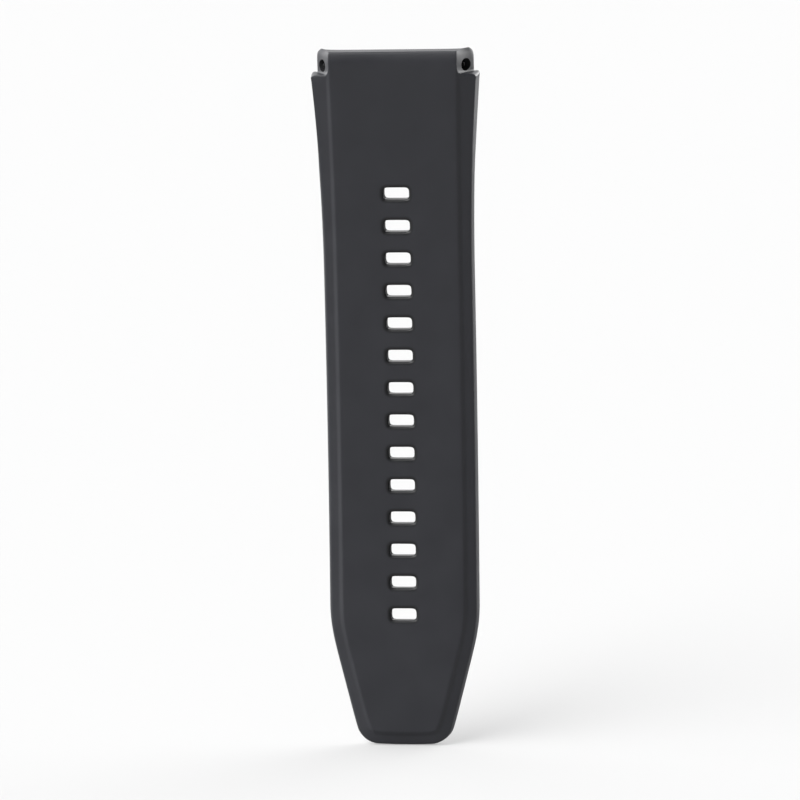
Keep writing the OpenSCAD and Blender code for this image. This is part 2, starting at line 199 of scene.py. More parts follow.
class StrapForm:
    """The strap's surfaces. X is the width, and -Y the skin side. A height runs along the bow from the bar,
    and a depth lies below the panel's face, square to the bow."""

    def __init__(self, sizes):
        for name in sizes.__annotations__:
            setattr(self, name, getattr(sizes, name))
        self.bow_z = -self.bow_mid
        self.bow_y = -self.head_t / 2 - math.sqrt(self.bow_r ** 2 - self.bow_mid ** 2)
        self.bar_turn = math.atan2(-self.bow_z, -self.bow_y)
        self.tip_z = -self.bar_to_tip
        self.knee_z = -self.taper_from
        self.panel_inset = (self.tail_w - self.panel_w) / 2
        self.foot_inset = self.panel_inset - self.step_w
        self.corner_z = self.tip_z + self.tip_crown + self.tip_r
        self.corner_x = (self.half_width(self.corner_z - self.tip_r * math.sin(self.taper), 0)
                         - self.tip_r * math.cos(self.taper))
        self.crown_r = (self.corner_x ** 2 + self.tip_crown ** 2) / (2 * self.tip_crown)
        rear_z = self.head_rise - self.head_back_r
        rear_y = self.front_y(rear_z) + self.head_t - self.head_back_r
        self.top = self.height(rear_y, rear_z) + self.head_back_r
        self.lean_from = self.face_height(self.head_lean_z)
        self.first_height = self.face_height(-self.first_slot)

    def front_y(self, z):
        """Y of the panel's face at a place on Z."""
        return self.bow_y + math.sqrt(self.bow_r ** 2 - (z - self.bow_z) ** 2)

    def height(self, y, z):
        """Length of the bow from the bar up to a point."""
        return (math.atan2(z - self.bow_z, y - self.bow_y) - self.bar_turn) * self.bow_r

    def face_height(self, z):
        """Length of the bow from the bar up to the panel's face at a place on Z."""
        return self.height(self.front_y(z), z)

    def place(self, height, depth):
        """Y and Z of a point at a height and depth."""
        turn = self.bar_turn + height / self.bow_r
        return (self.bow_y + (self.bow_r + depth) * math.cos(turn),
                self.bow_z + (self.bow_r + depth) * math.sin(turn))

    def back(self, height):
        """Depth of the hidden side, which swells out at the head."""
        turn = self.bar_turn + height / self.bow_r
        depth = self.tail_t
        for _ in range(SETTLE_ROUNDS):
            z = self.bow_z + (self.bow_r + depth) * math.sin(turn)
            share = clamp((-self.notch_drop - z) / (self.ramp_foot - self.notch_drop))
            thick = mix(self.tail_t, self.head_t, math.cos(math.pi / 2 * share))
            depth = (self.front_y(z) + thick - self.bow_y) / math.cos(turn) - self.bow_r
        return depth

    def lean(self, height):
        """Depth to which the head's front leans back."""
        above = max(0.0, height - self.lean_from)
        return self.head_front_r - math.sqrt(self.head_front_r ** 2 - above ** 2)

    def half_width(self, z, inset, inner=False):
        """Half the width at a place on Z, of the outline that lies inset inside the widest line."""
        flare, wide_z = (self.shoulder_w - self.tail_w) / 2, -self.notch_drop - self.shoulder_ease
        if inner:
            flare, wide_z = self.panel_flare, self.head_rise + FLARE_ABOVE * MM
        above = z + self.flare_len
        flare_r = ((wide_z + self.flare_len) ** 2 + flare ** 2) / (2 * flare)
        rise = flare_r - math.sqrt(flare_r ** 2 - above ** 2) if above > 0 else 0.0
        turn_r = self.knee_r - inset
        turned = min(self.taper, math.asin(clamp((self.knee_z - z) / turn_r)))
        left = max(0.0, self.knee_z - turn_r * math.sin(self.taper) - z)
        return self.tail_w / 2 - inset + rise - turn_r * (1 - math.cos(turned)) - left * math.tan(self.taper)

    def flange_end(self, z):
        """Where the falling flange meets the eased edge: inset inside the widest line, and depth."""
        gap = self.foot_inset
        if z > self.knee_z:
            gap = self.half_width(z, 0) - self.half_width(z, self.foot_inset, True)
        fall, ease = math.tan(self.flange_fall), math.tan(self.edge_ease)
        inset = ease * (self.edge_depth - self.step_depth - gap * fall) / (1 - fall * ease)
        return inset, self.step_depth + (gap - inset) * fall

    def end_x(self, z, behind):
        """Half the width of the head, whose ends slant out from the panel's edge to its hidden side."""
        edge = self.half_width(z, self.panel_inset, True)
        past_bar = max(0.0, behind - END_FLARE_FROM * self.head_t)
        return min(self.head_w / 2, edge + behind * math.tan(self.head_slant) + END_FLARE * past_bar)


# Columns of the cage from the middle to the side, and the number of its cells through the thickness
COLUMNS = 11
INNER, SLOT, RIM, FIELD, PANEL_HOLD, PANEL, FOOT, END, MID, EDGE_HOLD, EDGE = range(COLUMNS)
LAYERS = 4
# The lengths and heights in these tables are in millimetres, and the heights are taken from the bar.
# Heights of the head's rows, on the skin side and on the hidden side
HEAD_ROWS = ((1.98, 0.95), (1.2, 0.5), (0.4, -0.1), (-0.55, -0.85))
# Heights of the rows between the notch floor and the slots, and between the slots and the tip
RAMP_ROWS = (-1.8, -3.0, -5.0, -8.0, -11.0, -14.0, -16.0)
TAPER_ROWS = (-88.2, -91.0, -94.2, -97.4, -100.4)
# Depths of the layers as shares of the thickness, in the head's ends and in the slots
END_SHARES = (0.0, 0.06, 0.58, 0.85, 1.0)
SLOT_SHARES = (0.0, 0.27, 0.5, 0.9, 1.0)
# How far inside the head's end each column runs there, on the skin side and on the hidden side
SQUEEZE = {PANEL_HOLD: (0.62, 1.7), PANEL: (0.3, 0.8), FOOT: (0.12, 0.25), END: (0.0, 0.0)}
# How much of the side walls' lean each layer has, and how far under the eased edge the wall is held
LEAN_SHARES = (0.0, 0.0, 0.5, 1.0, 1.0)
WALL_HOLD = 0.04
# How much of the ear at the head's rear top edge each column has, the half width at which it starts,
# the run over which it rises, and the edge's radius there as a share of its radius elsewhere
EAR = {PANEL: 0.5, FOOT: 1.0, END: 1.0}
EAR_START, EAR_RUN, EAR_ROUND = 9.9, 1.2, 0.4
# The height above which a row follows the rear top edge's rounding, how far the cage's corner is cut there
# as a share of the radius, and how far behind the front the top is held
ROUND_ROW, ROUND_CUT, TOP_HOLD = 0.9, 0.19, 0.3
# How far the top's end column is drawn inwards and down, before the ear and at it, and its foot column at it
END_PULL, END_DROP, FOOT_PULL = (0.1, 0.34), (0.12, 0.34), 0.45
# Depth at which the head's end starts at the notch floor, as a share of the step, and the place of the foot
# column's point there, as shares of the step's width and depth
NOTCH_START, NOTCH_FOOT = 0.9, (0.5, 0.45)
# How far each column stands above the notch floor, on the skin side and on the hidden side
FLOOR_LIFTS = {END: (0.05, 0.05), MID: (0.1, 0.1), EDGE_HOLD: (0.12, 0.12), EDGE: (-0.3, 0.0)}
# How far the shoulder's corner is drawn out, and how far inside it is held, at most a share of the floor
CORNER_REACH, CORNER_HOLD, CORNER_SHARE = 0.06, 0.45, 0.4
# Distance below the bar at which the hidden side's columns start to run over to the head's ends
HEAD_LEAVE = 5
# Difference under which two insets are the same
HAIR = 0.001


class Row:
    """One row of the cage: its zone, its height on both sides, and at the tip its inset."""

    def __init__(self, zone, height=0.0, rear=None, inset=0.0, hole=False):
        self.zone, self.height, self.inset, self.hole = zone, height, inset, hole
        self.rear = height if rear is None else rear


def cage_rows(form):
    """Every row of the cage from the head's top to the tip's end."""
    rows = [Row("top", form.top)]
    rows += [Row("head", front * MM, rear * MM) for front, rear in HEAD_ROWS]
    rows.append(Row("floor", -form.notch_drop))
    rows += [Row("tail", height * MM) for height in RAMP_ROWS]
    half, reach = form.slot_h / 2, form.slot_h / 2 + form.rim_w
    for k in range(form.slot_count):
        middle = form.first_height - k * form.slot_pitch
        for offset in (reach, half, 0, -half, -reach):
            rows.append(Row("slots", middle + offset, hole=abs(offset) < reach))
    rows += [Row("tail", height * MM) for height in TAPER_ROWS]
    edge, _ = form.flange_end(form.tip_z)
    insets = (form.panel_inset + form.crease, form.panel_inset, form.foot_inset,
              form.foot_inset - form.crease, edge + form.crease, edge)
    rows += [Row("tip", inset=inset) for inset in insets]
    rows[-1].zone = "end"
    return rows


class StrapCage:
    """Places the points of the strap's cage, each named by column, row and layer."""

    def __init__(self, form):
        self.form = form
        self.rows = cage_rows(form)

    def edge_profile(self, z, back, layer):
        """Inset and depth of the side's points, from the flange's edge to the hidden side."""
        form = self.form
        if layer == 0:
            return form.flange_end(z)
        lean = LEAN_SHARES[layer] * form.wall_lean
        wall_end = back - form.back_edge
        return {
            1: (-lean, form.edge_depth + WALL_HOLD * MM),
            2: (-lean, (form.edge_depth + wall_end) / 2),
            3: (-lean, wall_end),
            4: (form.back_edge * math.tan(form.back_ease) - lean, back),
        }[layer]

    def column_inset(self, column, edge):
        """How far inside the widest line a column beside the slots' field runs."""
        form = self.form
        flange = form.foot_inset - form.crease
        return {
            PANEL_HOLD: form.panel_inset + form.crease,
            PANEL: form.panel_inset,
            FOOT: form.foot_inset,
            END: flange,
            MID: (flange + edge + form.crease) / 2,
            EDGE_HOLD: edge + form.crease,
            EDGE: edge,
        }[column]

    def field_x(self, column):
        """Half the width of the columns that frame the slots."""
        form = self.form
        return {INNER: form.slot_w / 2 - form.slot_turn, SLOT: form.slot_w / 2,
                RIM: form.slot_w / 2 + form.rim_w}[column]

    def tail_x(self, column, z, edge):
        """Half the width at which a column crosses the strap at a place on Z."""
        form = self.form
        if column <= RIM:
            return self.field_x(column)
        if column == FIELD:
            return (self.field_x(RIM) + self.tail_x(PANEL_HOLD, z, edge)) / 2
        if column == MID:
            return (self.tail_x(END, z, edge) + self.tail_x(EDGE_HOLD, z, edge)) / 2
        return form.half_width(z, self.column_inset(column, edge), column < MID)

    def head_x(self, column, z, behind, share):
        """Half the width at which a column crosses the head, behind its leaning front."""
        if column <= RIM:
            return self.field_x(column)
        if column == FIELD:
            return (self.field_x(RIM) + self.head_x(PANEL_HOLD, z, behind, share)) / 2
        return self.form.end_x(z, behind) - mix(*SQUEEZE[column], share) * MM

    def head_point(self, row, column, layer):
        """A point of the head above the notch floor."""
        form = self.form
        front, back = form.lean(row.height), form.back(row.height)
        share = END_SHARES[layer]
        ear = EAR.get(column, 0.0)
        round_r = mix(form.head_back_r, EAR_ROUND * form.head_back_r, ear)
        rear = form.top - round_r if row.rear > ROUND_ROW * MM else row.rear
        height, depth = mix(row.height, rear, share), mix(front, back, share)
        if row.zone == "top":
            drop = ROUND_CUT * round_r if layer == LAYERS else 0.0
            height = form.top - drop
            depth = (front, front + TOP_HOLD * MM, depth, back - round_r, back - drop)[layer]
        y, z = form.place(height, depth)
        behind = depth - front
        share = clamp(behind / (back - front))
        x = self.head_x(column, z, behind, share)
        if row.zone == "top":
            outer = clamp((x - EAR_START * MM) / (EAR_RUN * MM))
            rise = form.head_ear * ear * outer
            if column == END:
                x -= mix(*END_PULL, outer) * MM
                rise -= mix(*END_DROP, outer) * MM
            elif column == FOOT:
                x -= FOOT_PULL * MM * outer
            y, z = form.place(height + rise, depth)
        return x, y, z

    def floor_point(self, row, column, layer):
        """A point of the row at the notch floor, which runs from the head's end to the shoulder."""
        form = self.form
        back = form.back(row.height)
        _, z = form.place(row.height, 0)
        edge, edge_depth = self.edge_profile(z, back, layer)
        panel = form.half_width(z, form.panel_inset, True)
        end_depth = mix(NOTCH_START * form.step_depth, back, END_SHARES[layer])
        end_x = max(panel + form.step_w, form.end_x(z, end_depth))
        corner_x = form.shoulder_w / 2 - edge
        lift = mix(*FLOOR_LIFTS.get(column, (0.0, 0.0)), END_SHARES[layer]) * MM
        if column < END:
            depth = 0.0 if layer == 0 else back
            x = self.tail_x(column, z, edge)
            if column == FOOT and layer == 0:
                x, depth = panel + NOTCH_FOOT[0] * form.step_w, NOTCH_FOOT[1] * form.step_depth
            elif layer == LAYERS and column > FIELD:
                x = self.head_x(column, z, back, 1.0)
        elif column == END:
            x, depth = end_x, end_depth
        else:
            share = 0.5 if column == MID else 1.0
            hold = -CORNER_REACH * MM
            if column != EDGE:
                hold = min(CORNER_HOLD * MM, CORNER_SHARE * (corner_x - end_x))
            x, depth = mix(end_x, corner_x - hold, share), mix(end_depth, edge_depth, share)
        y, z = form.place(row.height + lift, depth)
        return x, y, z

    def bow_point(self, row, column, layer):
        """A point of the strap below the notch floor and above the tip."""
        form = self.form
        back = form.back(row.height)
        _, z = form.place(row.height, 0)
        edge, depth = self.edge_profile(z, back, layer)
        if column != EDGE:
            depth = back if layer == LAYERS else 0.0
        if row.hole and column <= SLOT:
            depth = SLOT_SHARES[layer] * back
        y, z = form.place(row.height, depth)
        x = self.tail_x(column, z, edge)
        if layer == 0 and column in (FOOT, END, MID, EDGE_HOLD):
            foot = form.half_width(z, form.foot_inset, True)
            depth = form.step_depth + max(0.0, x - foot) * math.tan(form.flange_fall)
            y, z = form.place(row.height, depth)
        leave = HEAD_LEAVE * MM
        if layer == LAYERS and PANEL_HOLD <= column <= END and row.height > -leave:
            share = (row.height + leave) / (leave - form.notch_drop)
            x = mix(x, self.head_x(column, z, back, 1.0), share)
        return x, y, z

    def tip_point(self, row, column, layer):
        """A point of the tip, where columns and rows turn the corner side by side."""
        form = self.form
        edge, depth = self.edge_profile(form.tip_z, form.tail_t, layer)
        upright = edge + LEAN_SHARES[layer] * form.wall_lean
        row_inset = upright if row.zone == "end" else row.inset
        z = form.tip_z + row_inset
        if column <= FIELD:
            x, inset = self.tail_x(column, z, edge), row_inset
            z += x ** 2 / (2 * form.crown_r)
        else:
            column_inset = self.column_inset(column, edge)
            inset = min(row_inset, column_inset)
            x = form.half_width(z, column_inset)
            angle = math.atan2(form.corner_z - z, x - form.corner_x)
            if form.taper < angle < math.pi / 2:
                if inset <= upright:
                    inset = mix(edge, upright, (angle - form.taper) / (math.pi / 2 - form.taper))
                x = form.corner_x + (form.tip_r - inset) * math.cos(angle)
                z = form.corner_z - (form.tip_r - inset) * math.sin(angle)
            elif angle >= math.pi / 2:
                z += x ** 2 / (2 * form.crown_r)
        if layer == LAYERS:
            depth = form.tail_t
        elif layer == 0:
            depth = form.step_depth + (form.foot_inset - inset) * math.tan(form.flange_fall)
            if inset >= form.panel_inset - HAIR * MM:
                depth = 0.0
        return x, form.front_y(z) + depth, z

    def point(self, side, column, number, layer):
        """A point of the cage, on the side that -1 or 1 names."""
        row = self.rows[number]
        shape = {"top": self.head_point, "head": self.head_point, "floor": self.floor_point,
                 "tip": self.tip_point, "end": self.tip_point}.get(row.zone, self.bow_point)
        x, y, z = shape(row, column, layer)
        return side * x, y, z


def deselect_all():
    """Leaves nothing selected, so that the next operator acts on its own piece alone."""
    bpy.ops.object.select_all(action="DESELECT")


def apply_modifier(obj, kind, **values):
    """Adds a modifier, sets its values and applies it."""
    modifier = obj.modifiers.new(kind.title(), kind)
    for name, value in values.items():
        setattr(modifier, name, value)
    bpy.context.view_layer.objects.active = obj
    bpy.ops.object.modifier_apply(modifier=modifier.name)


def select_faces(mesh, chosen):
    """Selects in edit mode the faces whose middle the test accepts."""
    bpy.ops.mesh.select_mode(type="FACE")
    bpy.ops.mesh.select_all(action="DESELECT")
    bpy.ops.object.mode_set(mode="OBJECT")
    for face in mesh.polygons:
        face.select = chosen(face.center.x, face.center.y)
    bpy.ops.object.mode_set(mode="EDIT")


def strap_cage_mesh(cage):
    """A block of unit cells, slots and notches cut out, whose vertices count columns, rows and layers."""
    wide, long = 2 * COLUMNS - 1, len(cage.rows) - 1
    bpy.ops.mesh.primitive_grid_add(x_subdivisions=wide, y_subdivisions=long, size=2, location=(0, 0, 0))
    obj = bpy.context.active_object
    for vertex in obj.data.vertices:
        vertex.co = (round((vertex.co.x + 1) / 2 * wide), round((vertex.co.y + 1) / 2 * long), 0)
    floor_row = next(n for n, row in enumerate(cage.rows) if row.zone == "floor")
    hole_rows = {n for n, row in enumerate(cage.rows) if row.hole}

    def cut_out(x, y):
        column, row = math.floor(x), math.floor(y)
        out = max(COLUMNS - 1 - column, column - (COLUMNS - 1))
        beside_head = row < floor_row and out > END
        in_slot = {row, row + 1} <= hole_rows and out <= SLOT
        return beside_head or in_slot

    bpy.ops.object.mode_set(mode="EDIT")
    select_faces(obj.data, cut_out)
    bpy.ops.mesh.delete(type="FACE")
    bpy.ops.mesh.select_all(action="SELECT")
    for _ in range(LAYERS):
        bpy.ops.mesh.extrude_region_move(TRANSFORM_OT_translate={"value": (0, 0, 1)})
    bpy.ops.mesh.select_all(action="SELECT")
    bpy.ops.mesh.normals_make_consistent(inside=False)
    bpy.ops.object.mode_set(mode="OBJECT")
    return obj


# Sides of the bore, how far its cutter stands out at both ends together, in millimetres, and the angle in
# degrees up to which a moulded edge and a wire's edge are shaded smooth
BORE_SIDES, BORE_OVER, MOULDED_SMOOTH, WIRE_SMOOTH = 64, 2, 50, 40


class STRAP_OT_body(bpy.types.Operator):
    """Models the moulded strap with its raised panel, slots and tip, and bores its head"""

    bl_idname = "strap.body"
    bl_label = "Moulded Strap"

    def execute(self, context):
        form = StrapForm(context.scene.strap_sizes)
        cage = StrapCage(form)
        deselect_all()
        strap = strap_cage_mesh(cage)
        strap.name = strap.data.name = "moulded_strap"
        for vertex in strap.data.vertices:
            column, row, layer = (round(c) for c in vertex.co)
            right = column >= COLUMNS
            out = column - COLUMNS if right else COLUMNS - 1 - column
            vertex.co = cage.point(1 if right else -1, out, row, layer)
        apply_modifier(strap, "SUBSURF", levels=2, render_levels=2)
        deselect_all()
        bpy.ops.mesh.primitive_cylinder_add(vertices=BORE_SIDES, radius=form.bore_r,
                                            depth=form.shoulder_w + BORE_OVER * MM)
        bore = context.active_object
        bpy.ops.transform.rotate(value=math.pi / 2, orient_axis="Y", center_override=(0, 0, 0))
        bpy.ops.object.transform_apply(location=True, rotation=True, scale=True)
        apply_modifier(strap, "BOOLEAN", operation="DIFFERENCE", object=bore, solver="EXACT")
        bpy.data.objects.remove(bore)
        deselect_all()
        strap.select_set(True)
        context.view_layer.objects.active = strap
        bpy.ops.object.shade_smooth_by_angle(angle=math.radians(MOULDED_SMOOTH))
        strap.data.materials.clear()
        strap.data.materials.append(rubber_material(context.scene.strap_finish, form))
        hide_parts("strap_body")
        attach(strap, "strap")
        return {"FINISHED"}


def new_material(name):
    """A material with a Principled shader and its output, and the tools to add nodes."""
    material = bpy.data.materials.new(name)
    material.use_nodes = True
    nodes = material.node_tree.nodes
    return material, nodes, material.node_tree.links, nodes["Principled BSDF"]


def node_group(name, inputs, outputs):
    """A shader node group with named inputs and outputs."""
    group = bpy.data.node_groups.new(name, "ShaderNodeTree")
    for label, kind, default in inputs:
        socket = group.interface.new_socket(name=label, in_out="INPUT", socket_type=kind)
        if default is not None:
            socket.default_value = default
    for label, kind in outputs:
        group.interface.new_socket(name=label, in_out="OUTPUT", socket_type=kind)
    return group, group.nodes.new("NodeGroupInput"), group.nodes.new("NodeGroupOutput")


# Detail of the grain's and the clouds' noise, and the roughness of both
GRAIN_DETAIL, CLOUD_DETAIL, NOISE_ROUGH = 3.0, 2.0, 0.6


def surface_grain():
    """Fine grain of a surface: how high it stands, and how much rougher or darker it is."""
    known = bpy.data.node_groups.get("SurfaceGrain")
    if known:
        return known
    group, given, made = node_group(
        "SurfaceGrain",
        [("Vector", "NodeSocketVector", None), ("Grain Size", "NodeSocketFloat", 0.1 * MM),
         ("Cloud Size", "NodeSocketFloat", 4 * MM)],
        [("Height", "NodeSocketFloat"), ("Cloud", "NodeSocketFloat")])
    nodes, links = group.nodes, group.links
    for label, output, detail in (("Grain Size", "Height", GRAIN_DETAIL),
                                  ("Cloud Size", "Cloud", CLOUD_DETAIL)):
        per_metre = nodes.new("ShaderNodeMath")
        per_metre.operation = "DIVIDE"
        per_metre.inputs[0].default_value = 1.0
        links.new(given.outputs[label], per_metre.inputs[1])
        noise = nodes.new("ShaderNodeTexNoise")
        noise.inputs["Detail"].default_value = detail
        noise.inputs["Roughness"].default_value = NOISE_ROUGH
        links.new(given.outputs["Vector"], noise.inputs["Vector"])
        links.new(per_metre.outputs[0], noise.inputs["Scale"])
        links.new(noise.outputs["Fac"], made.inputs[output])
    return group


def grained(nodes, links, spot, grain_size, cloud_size):
    """Places the grain group on a socket's coordinates."""
    grain = nodes.new("ShaderNodeGroup")
    grain.node_tree = surface_grain()
    grain.inputs["Grain Size"].default_value = grain_size
    grain.inputs["Cloud Size"].default_value = cloud_size
    links.new(spot, grain.inputs["Vector"])
    return grain


def spread(nodes, links, source, low, high, start=0.3, end=0.7, curve="LINEAR"):
    """Maps a value from the range start to end, by default a noise's, to the range low to high."""
    reach = nodes.new("ShaderNodeMapRange")
    reach.interpolation_type = curve
    for label, value in (("From Min", start), ("From Max", end), ("To Min", low), ("To Max", high)):
        reach.inputs[label].default_value = value
    links.new(source, reach.inputs["Value"])
    return reach.outputs["Result"]


def scaled(colour, share):
    """A colour at a share of its brightness."""
    return tuple(c * share for c in colour)


def tinted(nodes, links, mask, low, high):
    """Goes from the low to the high colour with a mask. Each is a colour or a socket."""
    tint = nodes.new("ShaderNodeMix")
    tint.data_type = "RGBA"
    for label, colour in (("A", low), ("B", high)):
        if isinstance(colour, tuple):
            tint.inputs[label].default_value = (*colour, 1)
        else:
            links.new(colour, tint.inputs[label])
    links.new(mask, tint.inputs["Factor"])
    return tint.outputs["Result"]


def bump(nodes, links, height, strength, distance, shader):
    """Raises the shader's surface by a height."""
    raised = nodes.new("ShaderNodeBump")
    raised.inputs["Strength"].default_value = strength
    raised.inputs["Distance"].default_value = distance
    links.new(height, raised.inputs["Height"])
    links.new(raised.outputs["Normal"], shader.inputs["Normal"])


def reckon(nodes, links, operation, *values):
    """A sum on sockets and numbers."""
    node = nodes.new("ShaderNodeMath")
    node.operation = operation
    for socket, value in zip(node.inputs, values):
        if isinstance(value, (int, float)):
            socket.default_value = value
        else:
            links.new(value, socket)
    return node.outputs[0]


# The lengths of the finishes are in millimetres too. Radius of the slots' corners as the shading takes them
SLOT_CORNER = 0.55
# The rubber's clouds: their size, the colour's shares in them and how far the roughness goes to each side
RUBBER_CLOUD, CLOUD_TINTS, CLOUD_ROUGH = 5, (0.88, 1.12), 0.04
# Distances from the bar over which the painted shade inside the bore turns into skin, and the colour's share
# inside, where that shade is painted
BORE_SHADE_MASK, BORE_SHADE_TINT = (0.93, 1.0), 0.2
# Distances from a slot's opening over which the painted shade round its rim turns into skin, and the colour's
# share in that painted shade
RIM_SHADE_MASK, RIM_SHADE_TINT = (0.25, 0.7), 0.25
# How far sideways a slot's end wall faces at least, and the distance from the opening up to which it is matte
WALL_FACING, WALL_REACH = 0.55, 0.3
# Strength of the rubber's bump and its height
RUBBER_BUMP = (0.25, 0.01)
# How rings are drawn out round the bar, the steel's cloud size, the colour's share in a ring's low, how far
# the roughness goes down and up, and the rings' bump
RING_STRETCH, STEEL_CLOUD, RING_TINT = (1.0, 0.02, 0.02), 0.6, 0.85
RING_ROUGH, RING_BUMP = (0.05, 0.08), (0.2, 0.004)


def slot_distance(nodes, links, spot, form):
    """How far a point of the strap lies outside the nearest slot's rounded opening."""
    parts = nodes.new("ShaderNodeSeparateXYZ")
    links.new(spot, parts.inputs[0])
    x, y, z = parts.outputs
    step = partial(reckon, nodes, links)
    turn = step("ARCTAN2", step("SUBTRACT", z, form.bow_z), step("SUBTRACT", y, form.bow_y))
    height = step("MULTIPLY", step("SUBTRACT", turn, form.bar_turn), form.bow_r)
    below = step("SUBTRACT", form.first_height, height)
    number = step("ROUND", step("DIVIDE", below, form.slot_pitch))
    number = step("MAXIMUM", step("MINIMUM", number, form.slot_count - 1.0), 0.0)
    along = step("SUBTRACT", below, step("MULTIPLY", number, form.slot_pitch))
    corner = SLOT_CORNER * MM
    past = []
    for value, size in ((x, form.slot_w), (along, form.slot_h)):
        beyond = step("SUBTRACT", step("ABSOLUTE", value), size / 2 - corner)
        past.append(step("POWER", step("MAXIMUM", beyond, 0.0), 2.0))
    return step("SUBTRACT", step("SQRT", step("ADD", *past)), corner)


def bar_distance(nodes, links, spot):
    """How far a point lies from the bar's axis."""
    beside_bar = nodes.new("ShaderNodeVectorMath")
    beside_bar.operation = "MULTIPLY"
    beside_bar.inputs[1].default_value = (0.0, 1.0, 1.0)
    links.new(spot, beside_bar.inputs[0])
    radius = nodes.new("ShaderNodeVectorMath")
    radius.operation = "LENGTH"
    links.new(beside_bar.outputs["Vector"], radius.inputs[0])
    return radius.outputs["Value"]


def rubber_material(finish, form):
    """Matte moulded rubber: fine grain, faint clouds, and painted shade in the bore and round the slots'
    rims.
    """
    material, nodes, links, shader = new_material("moulded_rubber")
    place = nodes.new("ShaderNodeTexCoord")
    spot = place.outputs["Object"]
    grain = grained(nodes, links, spot, finish.grain, RUBBER_CLOUD * MM)
    cloud = grain.outputs["Cloud"]
    cloudy = tinted(nodes, links, cloud, *[scaled(finish.rubber, share) for share in CLOUD_TINTS])
    # Painted shade: the rubber's colour is darkened inside the bore, where shade falls
    outside_bore_shade = spread(nodes, links, bar_distance(nodes, links, spot), 0.0, 1.0, *[r * MM for r in BORE_SHADE_MASK])
    bore_painted_shade = tinted(nodes, links, outside_bore_shade, scaled(finish.rubber, BORE_SHADE_TINT), cloudy)
    distance = slot_distance(nodes, links, spot, form)
    # Painted shade: the colour darkens round each slot's opening, as shade would fall at its rim
    rim = spread(nodes, links, distance, RIM_SHADE_TINT, 1.0, *[d * MM for d in RIM_SHADE_MASK], curve="SMOOTHSTEP")
    links.new(tinted(nodes, links, rim, (0, 0, 0), bore_painted_shade), shader.inputs["Base Color"])
    facing = nodes.new("ShaderNodeSeparateXYZ")
    links.new(place.outputs["Normal"], facing.inputs[0])
    step = partial(reckon, nodes, links)
    sideways = step("GREATER_THAN", step("ABSOLUTE", facing.outputs[0]), WALL_FACING)
    wall = step("MULTIPLY", sideways, step("LESS_THAN", distance, WALL_REACH * MM))
    inside = step("MAXIMUM", wall, step("SUBTRACT", 1.0, outside_bore_shade))
    rough = finish.rubber_roughness
    skin = spread(nodes, links, cloud, rough - CLOUD_ROUGH, rough + CLOUD_ROUGH)
    links.new(step("MAXIMUM", skin, inside), shader.inputs["Roughness"])
    strength, raised = RUBBER_BUMP
    bump(nodes, links, grain.outputs["Height"], strength, raised * MM, shader)
    return material


def steel_material(name, colour, roughness, streak):
    """Turned steel with fine rings round the bar's axis."""
    material, nodes, links, shader = new_material(name)
    shader.inputs["Metallic"].default_value = 1.0
    place = nodes.new("ShaderNodeTexCoord")
    along = nodes.new("ShaderNodeMapping")
    along.inputs["Scale"].default_value = RING_STRETCH
    links.new(place.outputs["Object"], along.inputs["Vector"])
    grain = grained(nodes, links, along.outputs["Vector"], streak, STEEL_CLOUD * MM)
    rings = grain.outputs["Height"]
    colours = tinted(nodes, links, rings, scaled(colour, RING_TINT), scaled(colour, 1.0))
    links.new(colours, shader.inputs["Base Color"])
    smoother, rougher = RING_ROUGH
    gloss = spread(nodes, links, rings, roughness - smoother, roughness + rougher)
    links.new(gloss, shader.inputs["Roughness"])
    strength, raised = RING_BUMP
    bump(nodes, links, rings, strength, raised * MM, shader)
    return material


# Straight pieces of the coil's wire in each half turn and in the bend at its end, and steps round the wire
HALF_TURN_STEPS, BEND_STEPS, WIRE_STEPS = 12, 6, 3


def coil_route(sizes):
    """The wire's middle line from the coil's middle to its end: places along the bar and angles round it."""
    wound, bend_r, turned = sizes.coil_wound, sizes.coil_bend_r, math.pi * sizes.coil_turns
    rise = math.atan(wound / (turned * sizes.coil_r))
    steps = HALF_TURN_STEPS * sizes.coil_turns
    route = [(wound * n / steps, turned * n / steps) for n in range(steps + 1)]
    for n in range(1, BEND_STEPS + 1):
        steep = mix(rise, math.pi / 2, n / BEND_STEPS)
        route.append((wound + bend_r * (math.cos(rise) - math.cos(steep)),
                      turned + bend_r * (math.sin(steep) - math.sin(rise)) / sizes.coil_r))
    route.append((sizes.coil_half, route[-1][1]))
    return route


class STRAP_OT_coil(bpy.types.Operator):
    """Winds the spring in two halves, which stretch from the bar's middle to its plungers"""

    bl_idname = "strap.coil"
    bl_label = "Spring Coil"

    def execute(self, context):
        sizes = context.scene.strap_sizes
        wire = steel_material("drawn_wire", context.scene.strap_finish.wire, roughness=0.35, streak=0.03 * MM)
        for side, name in ((-1, "left"), (1, "right")):
            deselect_all()
            bpy.ops.curve.primitive_nurbs_path_add(location=(0, 0, 0))
            coil = context.active_object
            coil.data.splines.clear()
            route = coil_route(sizes)
            line = coil.data.splines.new("POLY")
            line.points.add(len(route) - 1)
            for point, (along, turned) in zip(line.points, route):
                point.co = (side * along, sizes.coil_r * math.cos(turned),
                            side * sizes.coil_r * math.sin(turned), 1)
            coil.data.bevel_depth = sizes.wire_d / 2
            coil.data.bevel_resolution = WIRE_STEPS
            coil.data.use_fill_caps = True
            bpy.ops.object.convert(target="MESH")
            coil = context.active_object
            coil.name = coil.data.name = "coil_" + name
            bpy.ops.object.shade_smooth_by_angle(angle=math.radians(WIRE_SMOOTH))
            coil.data.materials.clear()
            coil.data.materials.append(wire)
            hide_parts("spring_bar_coil")
            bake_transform(coil)
        return {"FINISHED"}


